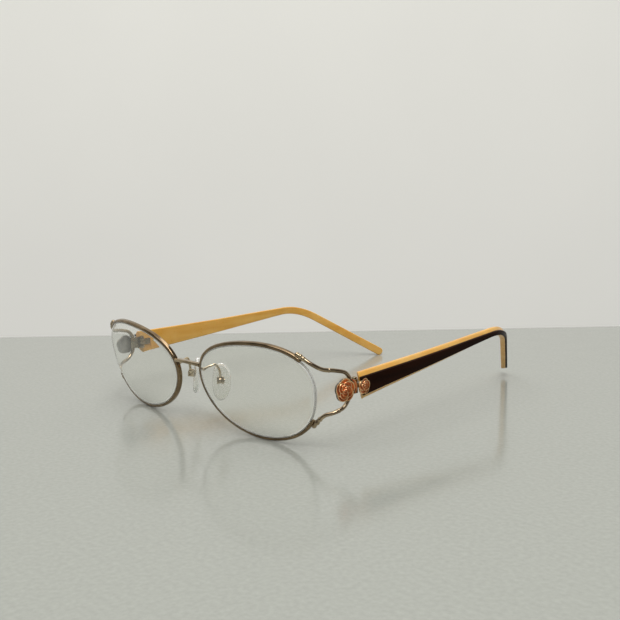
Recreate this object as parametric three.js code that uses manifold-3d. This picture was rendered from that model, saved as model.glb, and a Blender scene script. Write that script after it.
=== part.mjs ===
// Half rim eyeglasses with metal rims, laminated plastic temples and rose ornaments.
// Millimetres. +Z up, front towards -Y, the wearer's left towards +X, table at z = 0.

import * as THREE from 'three';
import { mergeVertices } from 'three/addons/utils/BufferGeometryUtils.js';
import Module from 'manifold-3d';

const wasm = await Module();
wasm.setup();

// ---- Driving dimensions -------------------------------------------------------------------

// Place of the origin: the middle of the depth, and the lowest point of the rims.
const DEPTH_CENTRE = 72.47;
const LOWEST_POINT = 0.223;

// Lens planes: half the distance between lens centres, height, and the way each plane turns.
const LENS_CENTRE_X = 34.5;
const LENS_CENTRE_Z = 17.85;
const FACE_WRAP = THREE.MathUtils.degToRad(6.4);
const FRONT_TILT = THREE.MathUtils.degToRad(11.5);
const LENS_CURVE_RADIUS = 106.6;

// Rim centre line: an ellipse with a soft egg shape, its angle counted from the temple side.
const RIM_HALF_WIDTH = 27.56;
const RIM_HALF_HEIGHT = 16.98;
const RIM_OVAL = -0.021;
const RIM_EGG = 0.037;
const RIM_EGG_ANGLE = THREE.MathUtils.degToRad(44);
const RIM_SQUARE = -0.0125;
const RIM_TOP_END = THREE.MathUtils.degToRad(41);
const RIM_BOTTOM_END = THREE.MathUtils.degToRad(328);
const RIM_WIDTH = 1.1;
const RIM_DEPTH = 1.6;
const RIM_STEPS = 64;

// Lens and the thread in its groove.
const LENS_THICKNESS = 1.5;
const LENS_INSET = RIM_WIDTH / 2 + 0.1;
const GROOVE_WIDTH = 0.6;
const GROOVE_DEPTH = 0.6;
const LENS_STEPS = 64;
const THREAD_RADIUS = 0.22;
const THREAD_TUCK = THREE.MathUtils.degToRad(5);

// Bridge bar between the rims.
const BRIDGE_HALF_SPAN = 7.6;
const BRIDGE_Y = -1.1;
const BRIDGE_Z = 23.5;
const BRIDGE_HEIGHT = 1.3;
const BRIDGE_DEPTH = 2.2;
const BRIDGE_RISE = 0.4;
const BRIDGE_BOW = 0.8;

// Side wires from the rim ends to the hinge block.
const WIRE_RADIUS = 0.68;
const WIRE_LIFT = RIM_WIDTH / 2 + WIRE_RADIUS + 0.06;
const WIRE_LAP = THREE.MathUtils.degToRad(3.5);
const WIRE_LANDING = new THREE.Vector2(1.25, -3.7);
const UPPER_WIRE_BENDS = [[58.8, 4.1, 29.7], [61.2, 7.0, 27.7], [62.9, 11.2, 26.9], [63.6, 15.2, 25.6]];
const LOWER_WIRE_BENDS = [[60.1, 8.8, 12.1], [62.4, 10.9, 13.1], [63.4, 14.4, 14.5]];

// Temple: front end, bend corner and tip on its centre line.
const TEMPLE_FRONT = new THREE.Vector3(65.0, 20.5, 20.6);
const TEMPLE_CORNER = new THREE.Vector3(60.3, 110.3, 26.4);
const TEMPLE_TIP = new THREE.Vector3(37.5, 145.7, 2.1);
const BEND_REACH = 11;
const TEMPLE_SAG = 0.2;
const TEMPLE_TAPER = 0.9;
const LEFT_TEMPLE_LIFT = THREE.MathUtils.degToRad(1.3);
const TEMPLE_THICKNESS = 2.8;
const TIP_THICKNESS = 2.8;
const FRONT_HEIGHT = 9.4;
const FRONT_MITRE = 0.55;
const FRONT_LEAN = 0.14;
const BEND_HEIGHT = 3.4;
const TIP_HEIGHT = 3.8;
const PANEL_THICKNESS = 0.8;
const TOP_BEVEL = 1.6;
const BEND_TOP_BEVEL = 1.4;
const BOTTOM_BEVEL = 1.75;
const BEND_BOTTOM_BEVEL = 0.3;
const BEVEL_SHARE = 0.85;
const BEVEL_DEPTH = 0.5;
const SKIN_GAP = 0.05;
const SEAT_DEPTH = 0.3;
const SEAT_LENGTH = 5.2;

// Hinge, measured from its own axis, with the temple's front end as its neighbour.
const AXIS_INWARD = 2.6;
const AXIS_BACK = 0.1;
const KNUCKLE_RADIUS = 1.05;
const KNUCKLE_HALF = 0.7;
const KNUCKLE_GAP = 0.12;
const HINGE_HALF = 2.3;
const SCREW_RADIUS = 0.5;
const SCREW_CLEARANCE = 0.1;
const BLOCK_INSIDE = 1.0;
const BLOCK_THICKNESS = 0.9;
const BLOCK_FRONT = -4.6;
const BLOCK_BACK = -0.35;
const LEAF_THICKNESS = 0.7;
const LEAF_LENGTH = 3.0;
const LEAF_HEIGHT = 2.6;

// Ornaments.
const ROSE_CENTRE = new THREE.Vector3(64.05, 13.8, 20.35);
const ROSE_TURN = THREE.MathUtils.degToRad(7);
const ROSE_RADIUS = 3.95;
const ROSE_WALL = 1.0;
const ROSE_DOME = 0.45;
const PETAL_OFFSET = [1.9, 0.6];
const PETAL_RADIUS = 2.85;
const PETAL_LIFT = 0.3;
const PETAL_THICKNESS = 0.85;
const TEMPLE_ROSE_RADIUS = 2.7;
const TEMPLE_ROSE_BACK = 2.5;
const TEMPLE_ROSE_LEAD = 1.75;
const TEMPLE_ROSE_RAISE = 0.25;

// Nose pads and their arms.
const PAD_BOX = new THREE.Vector3(9.5, 7.2, 16.8);
const PAD_TURN = THREE.MathUtils.degToRad(45);
const PAD_LEAN = THREE.MathUtils.degToRad(6);
const PAD_WIDTH = 7.1;
const PAD_LENGTH = 13.6;
const PAD_THICKNESS = 2.2;
const PAD_EDGE = 0.7;
const PAD_DROP = 0.7;
const BOX_SIZE = 2.4;
const BOX_BACK = -1.55;
const BOX_FRONT = 0.7;
const BOX_FLOOR = 0.4;
const BOX_SLOT = 1.1;
const EYE_RADIUS = 0.95;
const EYE_THICKNESS = 0.8;
const PAD_SCREW_RADIUS = 0.35;
const ARM_RADIUS = 0.45;
const ARM_BENDS = [[7.9, 1.15, 21.6], [8.2, 3.6, 22.4], [8.9, 5.6, 22.7], [9.5, 6.8, 20.6]];

// Wire core of the temple.
const CORE_RADIUS = 0.45;
const CORE_CLEARANCE = 0.1;
const CORE_INSET = 1.0;

// ---- Materials ----------------------------------------------------------------------------

function material(color, roughness, metalness, opacity = 1) {
  return new THREE.MeshStandardMaterial({
    color,
    roughness,
    metalness,
    opacity,
    transparent: opacity < 1,
  });
}

const rimMetal = () => material(0x8f7d62, 0.3, 1);
const paleMetal = () => material(0xd8c9a4, 0.25, 1);
const steel = () => material(0xb9b9b6, 0.3, 1);
const enamel = () => material(0xc8622c, 0.25, 0.4);
const ochrePlastic = () => material(0xd9a04a, 0.35, 0);
const brownPlastic = () => material(0x1f110c, 0.25, 0);
const clearLens = () => material(0xeef2f0, 0.05, 0, 0.25);
const clearSilicone = () => material(0xe6e8e2, 0.2, 0, 0.4);
const nylon = () => material(0xe8e8e4, 0.4, 0, 0.6);

// ---- Solid helpers ------------------------------------------------------------------------

// Keeps only the positions of a geometry and joins the vertices that coincide.
function welded(geometry) {
  const bare = geometry.clone();
  bare.deleteAttribute('normal');
  bare.deleteAttribute('uv');
  return mergeVertices(bare, 1e-4);
}

function toSolid(geometry) {
  const bare = welded(geometry);
  return new wasm.Manifold(new wasm.Mesh({
    numProp: 3,
    vertProperties: new Float32Array(bare.attributes.position.array),
    triVerts: new Uint32Array(bare.index.array),
  }));
}

function toGeometry(solid) {
  const mesh = solid.getMesh();
  const geometry = new THREE.BufferGeometry();
  geometry.setAttribute('position', new THREE.BufferAttribute(mesh.vertProperties, 3));
  geometry.setIndex(new THREE.BufferAttribute(mesh.triVerts, 1));
  geometry.computeVertexNormals();
  return geometry;
}

function join(...geometries) {
  return toGeometry(geometries.map(toSolid).reduce((sum, solid) => sum.add(solid)));
}

function cut(geometry, ...tools) {
  return toGeometry(tools.map(toSolid).reduce((rest, tool) => rest.subtract(tool), toSolid(geometry)));
}

// The same shape on the other side of the middle plane, with its faces still pointing out.
function mirrored(geometry) {
  const copy = welded(geometry);
  copy.scale(-1, 1, 1);
  const index = copy.index.array;
  for (let i = 0; i < index.length; i += 3) {
    [index[i], index[i + 1]] = [index[i + 1], index[i]];
  }
  copy.computeVertexNormals();
  return copy;
}

// A closed solid through rings of points that run counterclockwise seen along the travel.
function loft(rings) {
  const size = rings[0].length;
  const points = rings.flat();
  const faces = [];
  for (let ring = 0; ring + 1 < rings.length; ring += 1) {
    for (let i = 0; i < size; i += 1) {
      const next = (i + 1) % size;
      const a = ring * size + i;
      const b = ring * size + next;
      faces.push(a, b + size, b, a, a + size, b + size);
    }
  }
  const last = (rings.length - 1) * size;
  for (let i = 1; i + 1 < size; i += 1) {
    faces.push(0, i, i + 1);
    faces.push(last, last + i + 1, last + i);
  }
  const geometry = new THREE.BufferGeometry().setFromPoints(points);
  geometry.setIndex(faces);
  geometry.computeVertexNormals();
  return geometry;
}

function box(x0, x1, y0, y1, z0, z1) {
  const geometry = new THREE.BoxGeometry(x1 - x0, y1 - y0, z1 - z0);
  return geometry.translate((x0 + x1) / 2, (y0 + y1) / 2, (z0 + z1) / 2);
}

// An upright cylinder between two heights.
function post(radius, z0, z1, segments = 24) {
  const geometry = new THREE.CylinderGeometry(radius, radius, z1 - z0, segments);
  return geometry.rotateX(Math.PI / 2).translate(0, 0, (z0 + z1) / 2);
}

// A round wire along a curve.
function wire(curve, radius, steps, sides = 8) {
  const section = new THREE.Shape();
  section.absarc(0, 0, radius, 0, 2 * Math.PI);
  return new THREE.ExtrudeGeometry(section, {
    steps,
    curveSegments: sides / 2,
    bevelEnabled: false,
    extrudePath: curve,
  });
}

function vector([x, y, z]) {
  return new THREE.Vector3(x, y, z);
}

// ---- Lens plane ---------------------------------------------------------------------------

// A point of the rim's centre line, moved inwards by the inset.
function rimPoint(angle, inset = 0) {
  const at = (t) => {
    const size = 1 + RIM_OVAL * Math.cos(2 * t)
      + RIM_EGG * Math.cos(3 * (t - RIM_EGG_ANGLE))
      + RIM_SQUARE * Math.cos(4 * t);
    return new THREE.Vector2(
      RIM_HALF_WIDTH * Math.cos(t) * size,
      RIM_HALF_HEIGHT * Math.sin(t) * size,
    );
  };
  const step = 1e-3;
  const along = at(angle + step).sub(at(angle - step)).normalize();
  return at(angle).add(new THREE.Vector2(-along.y, along.x).multiplyScalar(inset));
}

// Turns a flat drawing, whose +Z faces the viewer, into a piece on the lens's curved face.
function onLensCurve(geometry) {
  geometry.rotateX(Math.PI / 2);
  const position = geometry.attributes.position;
  for (let i = 0; i < position.count; i += 1) {
    const x = position.getX(i);
    const z = position.getZ(i);
    position.setY(i, position.getY(i) + (x * x + z * z) / (2 * LENS_CURVE_RADIUS));
  }
  geometry.computeVertexNormals();
  return geometry;
}

// The left lens plane's place in the front.
function lensPlace(side) {
  const tilt = new THREE.Group();
  tilt.position.z = LENS_CENTRE_Z;
  tilt.rotation.x = FRONT_TILT;
  const turn = new THREE.Group();
  turn.position.x = side * LENS_CENTRE_X;
  turn.rotation.z = side * FACE_WRAP;
  tilt.add(turn);
  tilt.updateMatrixWorld(true);
  return { tilt, turn };
}

// A point of the left rim's outline in the front's own space.
function frontPoint(angle, inset) {
  const flat = rimPoint(angle, inset);
  const depth = (flat.x * flat.x + flat.y * flat.y) / (2 * LENS_CURVE_RADIUS);
  return lensPlace(1).turn.localToWorld(new THREE.Vector3(flat.x, depth, flat.y));
}

// ---- Front pieces -------------------------------------------------------------------------

// A flat band that follows the rim's open arc.
function rimBand(width, depth) {
  const outer = [];
  const inner = [];
  for (let i = 0; i <= RIM_STEPS; i += 1) {
    const angle = THREE.MathUtils.lerp(RIM_TOP_END, RIM_BOTTOM_END, i / RIM_STEPS);
    outer.push(rimPoint(angle, -width / 2));
    inner.unshift(rimPoint(angle, width / 2));
  }
  const geometry = new THREE.ExtrudeGeometry(new THREE.Shape([...outer, ...inner]), {
    depth,
    bevelEnabled: false,
  });
  return onLensCurve(geometry.translate(0, 0, -depth / 2));
}

// A meniscus disc turned in the round, then drawn out to the rim's outline.
function lensGeometry() {
  const half = LENS_THICKNESS / 2;
  const grooveHalf = GROOVE_WIDTH / 2;
  const grooveFloor = 1 - GROOVE_DEPTH / RIM_HALF_HEIGHT;
  const profile = [
    [0, -half], [0.5, -half], [1, -half],
    [1, -grooveHalf], [grooveFloor, -grooveHalf], [grooveFloor, grooveHalf], [1, grooveHalf],
    [1, half], [0.5, half], [0, half],
  ].map(([radius, height]) => new THREE.Vector2(radius, height));
  const geometry = new THREE.LatheGeometry(profile, LENS_STEPS).rotateX(Math.PI / 2);
  const position = geometry.attributes.position;
  for (let i = 0; i < position.count; i += 1) {
    const radius = Math.hypot(position.getX(i), position.getY(i));
    const angle = Math.atan2(position.getY(i), position.getX(i));
    const edge = rimPoint(angle, LENS_INSET);
    position.setX(i, edge.x * radius);
    position.setY(i, edge.y * radius);
  }
  return onLensCurve(geometry);
}

// The thread lies in the lens groove across the bare edge, a little way under both rim ends.
function threadGeometry() {
  const points = [];
  const start = RIM_BOTTOM_END - 2 * Math.PI - THREAD_TUCK;
  const end = RIM_TOP_END + THREAD_TUCK;
  const steps = 26;
  for (let i = 0; i <= steps; i += 1) {
    const flat = rimPoint(THREE.MathUtils.lerp(start, end, i / steps), LENS_INSET + THREAD_RADIUS + 0.05);
    points.push(new THREE.Vector3(flat.x, flat.y, 0));
  }
  return onLensCurve(wire(new THREE.CatmullRomCurve3(points), THREAD_RADIUS, steps, 6));
}

// The bar arches up and bows forward between the rims, and follows their outer walls.
function bridgeGeometry() {
  const steps = 12;
  const top = [];
  const bottom = [];
  for (let i = 0; i <= steps; i += 1) {
    const x = THREE.MathUtils.lerp(-BRIDGE_HALF_SPAN, BRIDGE_HALF_SPAN, i / steps);
    const z = BRIDGE_RISE * (1 - (x / BRIDGE_HALF_SPAN) ** 2) - BRIDGE_RISE;
    bottom.push(new THREE.Vector2(x, z - BRIDGE_HEIGHT / 2));
    top.unshift(new THREE.Vector2(x, z + BRIDGE_HEIGHT / 2));
  }
  const bar = new THREE.ExtrudeGeometry(new THREE.Shape([...bottom, ...top]), {
    depth: BRIDGE_DEPTH,
    bevelEnabled: false,
  });
  bar.translate(0, 0, -BRIDGE_DEPTH / 2).rotateX(Math.PI / 2);
  const position = bar.attributes.position;
  for (let i = 0; i < position.count; i += 1) {
    const bow = BRIDGE_BOW * (position.getX(i) / BRIDGE_HALF_SPAN) ** 2;
    position.setY(i, position.getY(i) + BRIDGE_Y + bow);
    position.setZ(i, position.getZ(i) + BRIDGE_Z);
  }
  const room = rimBand(RIM_WIDTH + 0.2, 4 * RIM_DEPTH);
  room.applyMatrix4(lensPlace(1).turn.matrixWorld);
  return cut(bar, room, mirrored(room));
}

function hingeAxis() {
  return new THREE.Vector3(-AXIS_INWARD, AXIS_BACK, 0)
    .applyAxisAngle(new THREE.Vector3(0, 0, 1), templeTurn())
    .add(TEMPLE_FRONT);
}

// A side wire starts along the rim's outside, sweeps back and comes upright to the hinge block.
function sideWire(rimEnd, lap, bends, upright) {
  const end = hingeAxis().add(new THREE.Vector3(WIRE_LANDING.x, WIRE_LANDING.y, 0));
  end.z += upright * (HINGE_HALF + SKIN_GAP);
  const curve = new THREE.CatmullRomCurve3([
    frontPoint(rimEnd + 2 * lap, -WIRE_LIFT),
    frontPoint(rimEnd + lap, -WIRE_LIFT),
    ...bends.map(vector),
    end.clone().add(new THREE.Vector3(0, 0, upright * WIRE_RADIUS)),
    end,
  ], false, 'centripetal');
  return wire(curve, WIRE_RADIUS, 44);
}

function upperWireGeometry() {
  return sideWire(RIM_TOP_END, WIRE_LAP, UPPER_WIRE_BENDS, 1);
}

function lowerWireGeometry() {
  return sideWire(RIM_BOTTOM_END, -WIRE_LAP, LOWER_WIRE_BENDS, -1);
}

// ---- Hinge --------------------------------------------------------------------------------

// A flat block with two knuckles; its own origin is on the hinge axis.
function hingeBlockGeometry() {
  const plate = box(BLOCK_INSIDE, BLOCK_INSIDE + BLOCK_THICKNESS, BLOCK_FRONT, BLOCK_BACK,
    -HINGE_HALF, HINGE_HALF);
  const inner = KNUCKLE_HALF + KNUCKLE_GAP;
  const pieces = [plate];
  for (const [low, high] of [[inner, HINGE_HALF], [-HINGE_HALF, -inner]]) {
    pieces.push(post(KNUCKLE_RADIUS, low, high));
    pieces.push(box(0, BLOCK_INSIDE + 0.2, -KNUCKLE_RADIUS, BLOCK_BACK, low, high));
  }
  return cut(join(...pieces), post(SCREW_RADIUS + SCREW_CLEARANCE, -9, 9));
}

// The temple's knuckle, its neck and a plate that lies on the temple's inner face.
function templeLeafGeometry() {
  const outside = AXIS_INWARD - TEMPLE_THICKNESS / 2 + SEAT_DEPTH - SKIN_GAP;
  const neckEnd = KNUCKLE_RADIUS + 0.45;
  const knuckle = post(KNUCKLE_RADIUS, -KNUCKLE_HALF, KNUCKLE_HALF);
  const neck = box(outside - LEAF_THICKNESS, outside, 0.2, neckEnd + 0.2, -KNUCKLE_HALF, KNUCKLE_HALF);
  const plate = box(outside - LEAF_THICKNESS, outside, neckEnd, neckEnd + LEAF_LENGTH,
    -LEAF_HEIGHT / 2, LEAF_HEIGHT / 2);
  return cut(join(knuckle, neck, plate), post(SCREW_RADIUS + SCREW_CLEARANCE, -9, 9));
}

// A countersunk-looking screw: shank, flat head on the top knuckle, slot across the head.
function hingeScrewGeometry() {
  const head = 0.95;
  const seat = HINGE_HALF + 0.05;
  const profile = [
    [0, -HINGE_HALF], [SCREW_RADIUS, -HINGE_HALF], [SCREW_RADIUS, seat],
    [head, seat], [head, seat + 0.4], [0, seat + 0.4],
  ].map(([radius, height]) => new THREE.Vector2(radius, height));
  const screw = new THREE.LatheGeometry(profile, 20).rotateX(Math.PI / 2);
  return cut(screw, box(-1.5, 1.5, -0.15, 0.15, seat + 0.2, seat + 1));
}

// ---- Ornaments ----------------------------------------------------------------------------

// Both ornaments are drawn flat, facing +Z, with +X towards the back of the glasses.
function roseGeometry() {
  const profile = [
    [0, 0], [ROSE_RADIUS, 0], [ROSE_RADIUS, ROSE_WALL],
    [ROSE_RADIUS * 0.8, ROSE_WALL + ROSE_DOME * 0.6], [ROSE_RADIUS * 0.45, ROSE_WALL + ROSE_DOME],
    [0, ROSE_WALL + ROSE_DOME],
  ].map(([radius, height]) => new THREE.Vector2(radius, height));
  return new THREE.LatheGeometry(profile, 36).rotateX(Math.PI / 2);
}

function petalGeometry() {
  const disc = post(PETAL_RADIUS, PETAL_LIFT, PETAL_LIFT + PETAL_THICKNESS, 32);
  return cut(disc.translate(...PETAL_OFFSET, 0), post(ROSE_RADIUS + 0.12, -1, 3, 36));
}

// Turns an ornament's drawing so that it faces +X, with its own +X towards +Y.
function facingOut(geometry) {
  return geometry.rotateX(Math.PI / 2).rotateZ(Math.PI / 2);
}

// A disc cut off flat along the temple's front end.
function templeRoseOutline(radius, depth) {
  const chord = Math.acos(TEMPLE_ROSE_BACK / TEMPLE_ROSE_RADIUS);
  const shape = new THREE.Shape();
  shape.absarc(TEMPLE_ROSE_BACK, 0, radius, -Math.PI + chord, Math.PI - chord, false);
  return new THREE.ExtrudeGeometry(shape, { depth, bevelEnabled: false, curveSegments: 28 });
}

// ---- Temple -------------------------------------------------------------------------------

function templeTurn() {
  return Math.atan2(TEMPLE_FRONT.x - TEMPLE_CORNER.x, TEMPLE_CORNER.y - TEMPLE_FRONT.y);
}

// Centre line in the temple's own space: front end at the origin, running along +Y.
function templeLine() {
  const local = (point) => point.clone().sub(TEMPLE_FRONT)
    .applyAxisAngle(new THREE.Vector3(0, 0, 1), -templeTurn());
  const corner = local(TEMPLE_CORNER);
  const tip = local(TEMPLE_TIP);
  const before = corner.clone().multiplyScalar(1 - BEND_REACH / corner.length());
  const after = corner.clone().lerp(tip, BEND_REACH / corner.distanceTo(tip));
  const path = new THREE.CurvePath();
  path.add(new THREE.LineCurve3(new THREE.Vector3(), before));
  path.add(new THREE.QuadraticBezierCurve3(before, corner, after));
  path.add(new THREE.LineCurve3(after, tip));
  return { path, before, after, tip };
}

// Stations along the temple: centre, section directions, thickness, height and bevel.
function templeStations() {
  const { path, before } = templeLine();
  const length = path.getLength();
  const bendStart = before.length() / length;
  const stations = [];
  const marks = [];
  for (let i = 0; i <= 12; i += 1) marks.push(bendStart * i / 12);
  for (let i = 1; i <= 16; i += 1) marks.push(THREE.MathUtils.lerp(bendStart, 1, i / 16));
  for (const mark of marks) {
    const centre = path.getPointAt(mark);
    const along = path.getTangentAt(mark);
    const outward = new THREE.Vector3(along.y, -along.x, 0).normalize();
    const upward = new THREE.Vector3().crossVectors(outward, along);
    const run = Math.min(mark / bendStart, 1);
    const tail = Math.max((mark - bendStart) / (1 - bendStart), 0);
    centre.z -= TEMPLE_SAG * Math.sin(Math.PI * run) ** 2;
    stations.push({
      centre,
      outward,
      upward,
      mitre: mark > 0 ? 0 : FRONT_MITRE,
      lean: mark > 0 ? 0 : FRONT_LEAN,
      thickness: THREE.MathUtils.lerp(TEMPLE_THICKNESS, TIP_THICKNESS, tail),
      height: THREE.MathUtils.lerp(FRONT_HEIGHT, BEND_HEIGHT, run ** TEMPLE_TAPER) + tail * (TIP_HEIGHT - BEND_HEIGHT),
      topBevel: THREE.MathUtils.lerp(TOP_BEVEL, BEND_TOP_BEVEL, run),
      bottomBevel: THREE.MathUtils.lerp(BOTTOM_BEVEL, BEND_BOTTOM_BEVEL, run),
    });
  }
  return stations;
}

// The tip closes in a half round: the last stations shrink towards the end.
function tipRounding(stations) {
  const end = stations[stations.length - 1];
  const rounded = [];
  for (const share of [0.35, 0.7, 0.92]) {
    rounded.push({
      ...end,
      centre: end.centre.clone().addScaledVector(endDirection(end), end.height / 2 * share),
      height: end.height * Math.sqrt(1 - share * share),
      topBevel: end.topBevel * Math.sqrt(1 - share * share),
      bottomBevel: end.bottomBevel * Math.sqrt(1 - share * share),
    });
  }
  return [...stations, ...rounded];
}

function endDirection(station) {
  return new THREE.Vector3().crossVectors(station.upward, station.outward);
}

function sectionRing(station, corners) {
  return corners.map(([out, up]) => station.centre.clone()
    .addScaledVector(station.outward, out)
    .addScaledVector(station.upward, up)
    .add(new THREE.Vector3(0, -out * station.mitre - up * station.lean, 0)));
}

// The ochre body: flat inside with a lowered seat for the hinge plate, bevelled outside.
function templeCoreGeometry() {
  const rings = tipRounding(templeStations()).map((station) => {
    const half = station.thickness / 2;
    const up = station.height / 2;
    const face = half - PANEL_THICKNESS - SKIN_GAP;
    const low = BEVEL_SHARE * station.bottomBevel - up;
    const high = up - BEVEL_SHARE * station.topBevel;
    return sectionRing(station, [
      [face, low], [face, high], [face - BEVEL_DEPTH * station.topBevel, up],
      [-half + 0.3, up], [-half, up - 0.3], [-half, -up + 0.3], [-half + 0.3, -up],
      [face - BEVEL_DEPTH * station.bottomBevel, -up],
    ]);
  });
  const bore = wire(coreLine(-1), CORE_RADIUS + CORE_CLEARANCE, 44);
  const inside = -TEMPLE_THICKNESS / 2;
  const seat = box(inside - 1, inside + SEAT_DEPTH, -2, SEAT_LENGTH, -FRONT_HEIGHT, FRONT_HEIGHT);
  return cut(loft(rings), bore, seat);
}

// The dark layer on the outer face, cut away around the small ornament.
function templePanelGeometry() {
  const rings = tipRounding(templeStations()).map((station) => {
    const half = station.thickness / 2;
    const up = station.height / 2;
    const low = BEVEL_SHARE * station.bottomBevel - up;
    const high = up - BEVEL_SHARE * station.topBevel;
    return sectionRing(station, [
      [half, station.bottomBevel - up], [half, up - station.topBevel],
      [half - PANEL_THICKNESS, high], [half - PANEL_THICKNESS, low],
    ]);
  });
  const pocket = facingOut(templeRoseOutline(TEMPLE_ROSE_RADIUS + 0.1, 3));
  return cut(loft(rings), pocket.translate(TEMPLE_THICKNESS / 2 - 1.5, -TEMPLE_ROSE_LEAD, 0));
}

function templeRoseGeometry() {
  return facingOut(templeRoseOutline(TEMPLE_ROSE_RADIUS, PANEL_THICKNESS + TEMPLE_ROSE_RAISE))
    .translate(TEMPLE_THICKNESS / 2 - PANEL_THICKNESS, -TEMPLE_ROSE_LEAD, 0);
}

// The stiffening wire's line inside the body, starting this far behind the front end.
function coreLine(start) {
  const stations = templeStations();
  const points = stations.slice(1, -3).map((station) => {
    const offset = CORE_INSET - station.thickness / 2;
    return station.centre.clone().addScaledVector(station.outward, offset);
  });
  const front = points[0].clone();
  const direction = points[0].clone().sub(points[1]).normalize();
  front.addScaledVector(direction, (points[0].y - start) / -direction.y);
  return new THREE.CatmullRomCurve3([front, ...points]);
}

function coreWireGeometry() {
  return wire(coreLine(0.6), CORE_RADIUS, 44);
}

// ---- Nose pads ----------------------------------------------------------------------------

// Pad pieces share one space: origin at the rocking screw, screw along Y, skin side to -X.
function nosePadGeometry() {
  const shape = new THREE.Shape();
  shape.absellipse(0, 0, PAD_WIDTH / 2 - PAD_EDGE, PAD_LENGTH / 2 - PAD_EDGE, 0, 2 * Math.PI);
  const pad = new THREE.ExtrudeGeometry(shape, {
    depth: PAD_THICKNESS - 2 * PAD_EDGE,
    bevelThickness: PAD_EDGE,
    bevelSize: PAD_EDGE,
    bevelSegments: 2,
    curveSegments: 12,
  });
  return facingOut(pad).translate(BOX_BACK - SKIN_GAP - PAD_THICKNESS + PAD_EDGE, 0, -PAD_DROP);
}

function padBoxGeometry() {
  const half = BOX_SIZE / 2;
  const body = box(BOX_BACK, BOX_FRONT, -half, half, -half, half);
  const slot = box(BOX_BACK + BOX_FLOOR, 3, -BOX_SLOT / 2, BOX_SLOT / 2, -3, 3);
  return cut(body, slot, padScrewHole(PAD_SCREW_RADIUS + 0.06));
}

function padScrewHole(radius) {
  return post(radius, -3, 3, 16).rotateX(Math.PI / 2);
}

function padScrewGeometry() {
  const half = BOX_SIZE / 2;
  const head = half + 0.06;
  const profile = [
    [0, -half], [PAD_SCREW_RADIUS, -half], [PAD_SCREW_RADIUS, head],
    [0.6, head], [0.6, head + 0.3], [0, head + 0.3],
  ].map(([radius, height]) => new THREE.Vector2(radius, height));
  return new THREE.LatheGeometry(profile, 16);
}

// The arm's wire and its eye, which the pad screw passes through.
function padArmGeometry(padGroup) {
  const eye = padScrewHole(EYE_RADIUS).scale(1, EYE_THICKNESS / 6, 1);
  const ringed = cut(eye, padScrewHole(PAD_SCREW_RADIUS + 0.12));
  ringed.applyMatrix4(padGroup.matrixWorld);
  const stop = new THREE.Vector3(0, 0, (EYE_RADIUS + PAD_SCREW_RADIUS) / 2).applyMatrix4(padGroup.matrixWorld);
  const curve = new THREE.CatmullRomCurve3([...ARM_BENDS.map(vector), stop], false, 'centripetal');
  return join(wire(curve, ARM_RADIUS, 28), ringed);
}

// ---- Assembly -----------------------------------------------------------------------------

function addPiece(parent, name, side, geometry, look) {
  const mesh = new THREE.Mesh(side > 0 ? geometry : mirrored(geometry), look);
  mesh.name = `${side > 0 ? 'left' : 'right'}_${name}`;
  parent.add(mesh);
}

function placed(side, position, turn) {
  const group = new THREE.Group();
  group.position.set(side * position.x, position.y, position.z);
  group.rotation.z = side * turn;
  return group;
}

function padGroupFor(side) {
  const group = placed(side, PAD_BOX, -PAD_TURN);
  group.rotation.order = 'ZYX';
  group.rotation.y = -side * PAD_LEAN;
  group.updateMatrixWorld(true);
  return group;
}

function addSide(root, side) {
  const { tilt, turn } = lensPlace(side);
  root.add(tilt);
  addPiece(turn, 'rim', side, rimBand(RIM_WIDTH, RIM_DEPTH), rimMetal());
  addPiece(turn, 'lens', side, lensGeometry(), clearLens());
  addPiece(turn, 'nylon_cord', side, threadGeometry(), nylon());
  addPiece(root, 'upper_wire', side, upperWireGeometry(), paleMetal());
  addPiece(root, 'lower_wire', side, lowerWireGeometry(), paleMetal());

  const hinge = placed(side, hingeAxis(), 0);
  root.add(hinge);
  addPiece(hinge, 'hinge_block', side, hingeBlockGeometry(), steel());
  addPiece(hinge, 'hinge_screw', side, hingeScrewGeometry(), steel());

  const ornament = placed(side, ROSE_CENTRE, -ROSE_TURN);
  root.add(ornament);
  addPiece(ornament, 'rose', side, facingOut(roseGeometry()), enamel());
  addPiece(ornament, 'petal', side, facingOut(petalGeometry()), enamel());

  const leaf = placed(side, hingeAxis(), templeTurn());
  root.add(leaf);
  addPiece(leaf, 'temple_leaf', side, templeLeafGeometry(), steel());

  const temple = placed(side, TEMPLE_FRONT, templeTurn());
  temple.rotation.order = 'ZXY';
  temple.rotation.x = side > 0 ? LEFT_TEMPLE_LIFT : 0;
  root.add(temple);
  addPiece(temple, 'temple_core', side, templeCoreGeometry(), ochrePlastic());
  addPiece(temple, 'temple_panel', side, templePanelGeometry(), brownPlastic());
  addPiece(temple, 'temple_rose', side, templeRoseGeometry(), enamel());
  addPiece(temple, 'core_wire', side, coreWireGeometry(), steel());

  const pad = padGroupFor(side);
  root.add(pad);
  addPiece(pad, 'nose_pad', side, nosePadGeometry(), clearSilicone());
  addPiece(pad, 'pad_box', side, padBoxGeometry(), paleMetal());
  addPiece(pad, 'pad_screw', side, padScrewGeometry(), paleMetal());
  addPiece(root, 'pad_arm', side, padArmGeometry(padGroupFor(1)), paleMetal());
}

const glasses = new THREE.Group();
glasses.position.set(0, -DEPTH_CENTRE, -LOWEST_POINT);
const bridge = new THREE.Mesh(bridgeGeometry(), paleMetal());
bridge.name = 'bridge';
glasses.add(bridge);
addSide(glasses, 1);
addSide(glasses, -1);

export default glasses;
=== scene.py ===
# Half rim eyeglasses: fine shapes, materials, floor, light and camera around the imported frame.
# Shapes are drawn in millimetres for the wearer's left side, in the space that the solids are
# drawn in: x from the middle plane, y from the front plane, z up. build() moves them to the row
# frame and mirrors them for the right side.

import math

import bmesh
import bpy
from mathutils import Matrix, Vector


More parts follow.
